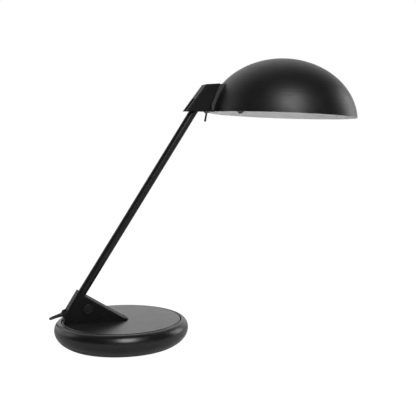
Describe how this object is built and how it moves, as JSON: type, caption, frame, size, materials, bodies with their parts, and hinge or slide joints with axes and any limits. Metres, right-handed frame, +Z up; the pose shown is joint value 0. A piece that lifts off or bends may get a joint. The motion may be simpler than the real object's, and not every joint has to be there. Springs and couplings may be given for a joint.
{
  "type": "desk lamp",
  "caption": "Desk lamp with a low dome shade on a leaning tube arm, a tilting head and a turning round base",
  "frame": {"origin": "centre of the base's underside", "axes": "+Z up; the arm leans and the shade reaches towards +X in the plane y = 0; +Y completes the frame, away from the side that shows the round clamp screw"},
  "size_m": [0.4658, 0.2819, 0.4175],
  "materials": {
    "base_paint": "semi-gloss black enamel",
    "felt": "dark wool felt",
    "cover_steel": "zinc-plated sheet",
    "screws": "zinc-plated",
    "acetal": "natural acetal",
    "disc_paint": "semi-gloss black enamel",
    "wedge_paint": "satin black enamel",
    "black_cap": "blackened steel",
    "arm_paint": "semi-gloss black enamel",
    "lead_sheath": "flexible cord",
    "tie_strap": "woven hook-and-loop strap",
    "plug_plastic": "moulded plastic",
    "nickel": "nickel-plated",
    "bracket_paint": "satin black enamel",
    "brass": "plain brass",
    "holder_plastic": "moulded black",
    "shade_paint": "black enamel outside, white enamel inside",
    "frosted_glass": "frosted",
    "lever_metal": "dark plated"
  },
  "bodies": {
    "base": {"base_casting": "base_paint", "felt_pad": "felt", "cover_plate": "cover_steel", "cover_screws": "screws", "slide_ring": "acetal", "swivel_bush": "acetal"},
    "turntable": {"turntable_disc": "disc_paint", "swivel_stud": "screws", "thrust_washer": "screws", "spring_washer": "screws", "swivel_nut": "screws", "foot_plate": "wedge_paint", "foot_screws": "screws", "wedge_housing": "wedge_paint", "clamp_jaws": "screws", "clamp_screw": "black_cap", "side_screw": "black_cap", "arm_tube": "arm_paint", "arm_end_lug": "arm_paint", "arm_lead": "lead_sheath", "cord_grommet": "lead_sheath", "power_cord": "lead_sheath", "cord_coil": "lead_sheath", "coil_tie": "tie_strap", "cord_tail": "lead_sheath", "plug_sleeve": "plug_plastic", "plug_body": "plug_plastic", "plug_pins": "nickel"},
    "head": {"head_bracket": "bracket_paint", "pivot_pin": "screws", "friction_washers": "brass", "neck_nipple": "screws", "neck_nut": "screws", "outer_spacer": "holder_plastic", "inner_spacer": "screws", "head_lead": "lead_sheath", "shade": "shade_paint", "holder_cap": "holder_plastic", "holder_skirt": "holder_plastic", "holder_collar": "holder_plastic", "socket_shell": "brass", "socket_contact": "brass", "bulb_cap": "nickel", "bulb_glass": "frosted_glass", "switch_body": "holder_plastic", "switch_bushing": "nickel", "switch_nut": "nickel"},
    "switch_lever": {"switch_lever": "lever_metal"}
  },
  "joints": [
    {"name": "base_swivel", "type": "hinge", "parent": "base", "child": "turntable", "pos_m": [0, 0, 0.03], "axis": [0, 0, 1], "continuous": true},
    {"name": "head_tilt", "type": "hinge", "parent": "turntable", "child": "head", "pos_m": [0.1165, 0, 0.348], "axis": [0, -1, 0], "range_deg": [-25, 45]},
    {"name": "switch_toggle", "type": "hinge", "parent": "head", "child": "switch_lever", "pos_m": [0.12991, 0, 0.337], "axis": [0, -1, 0], "range_deg": [0, 21]}
  ]
}
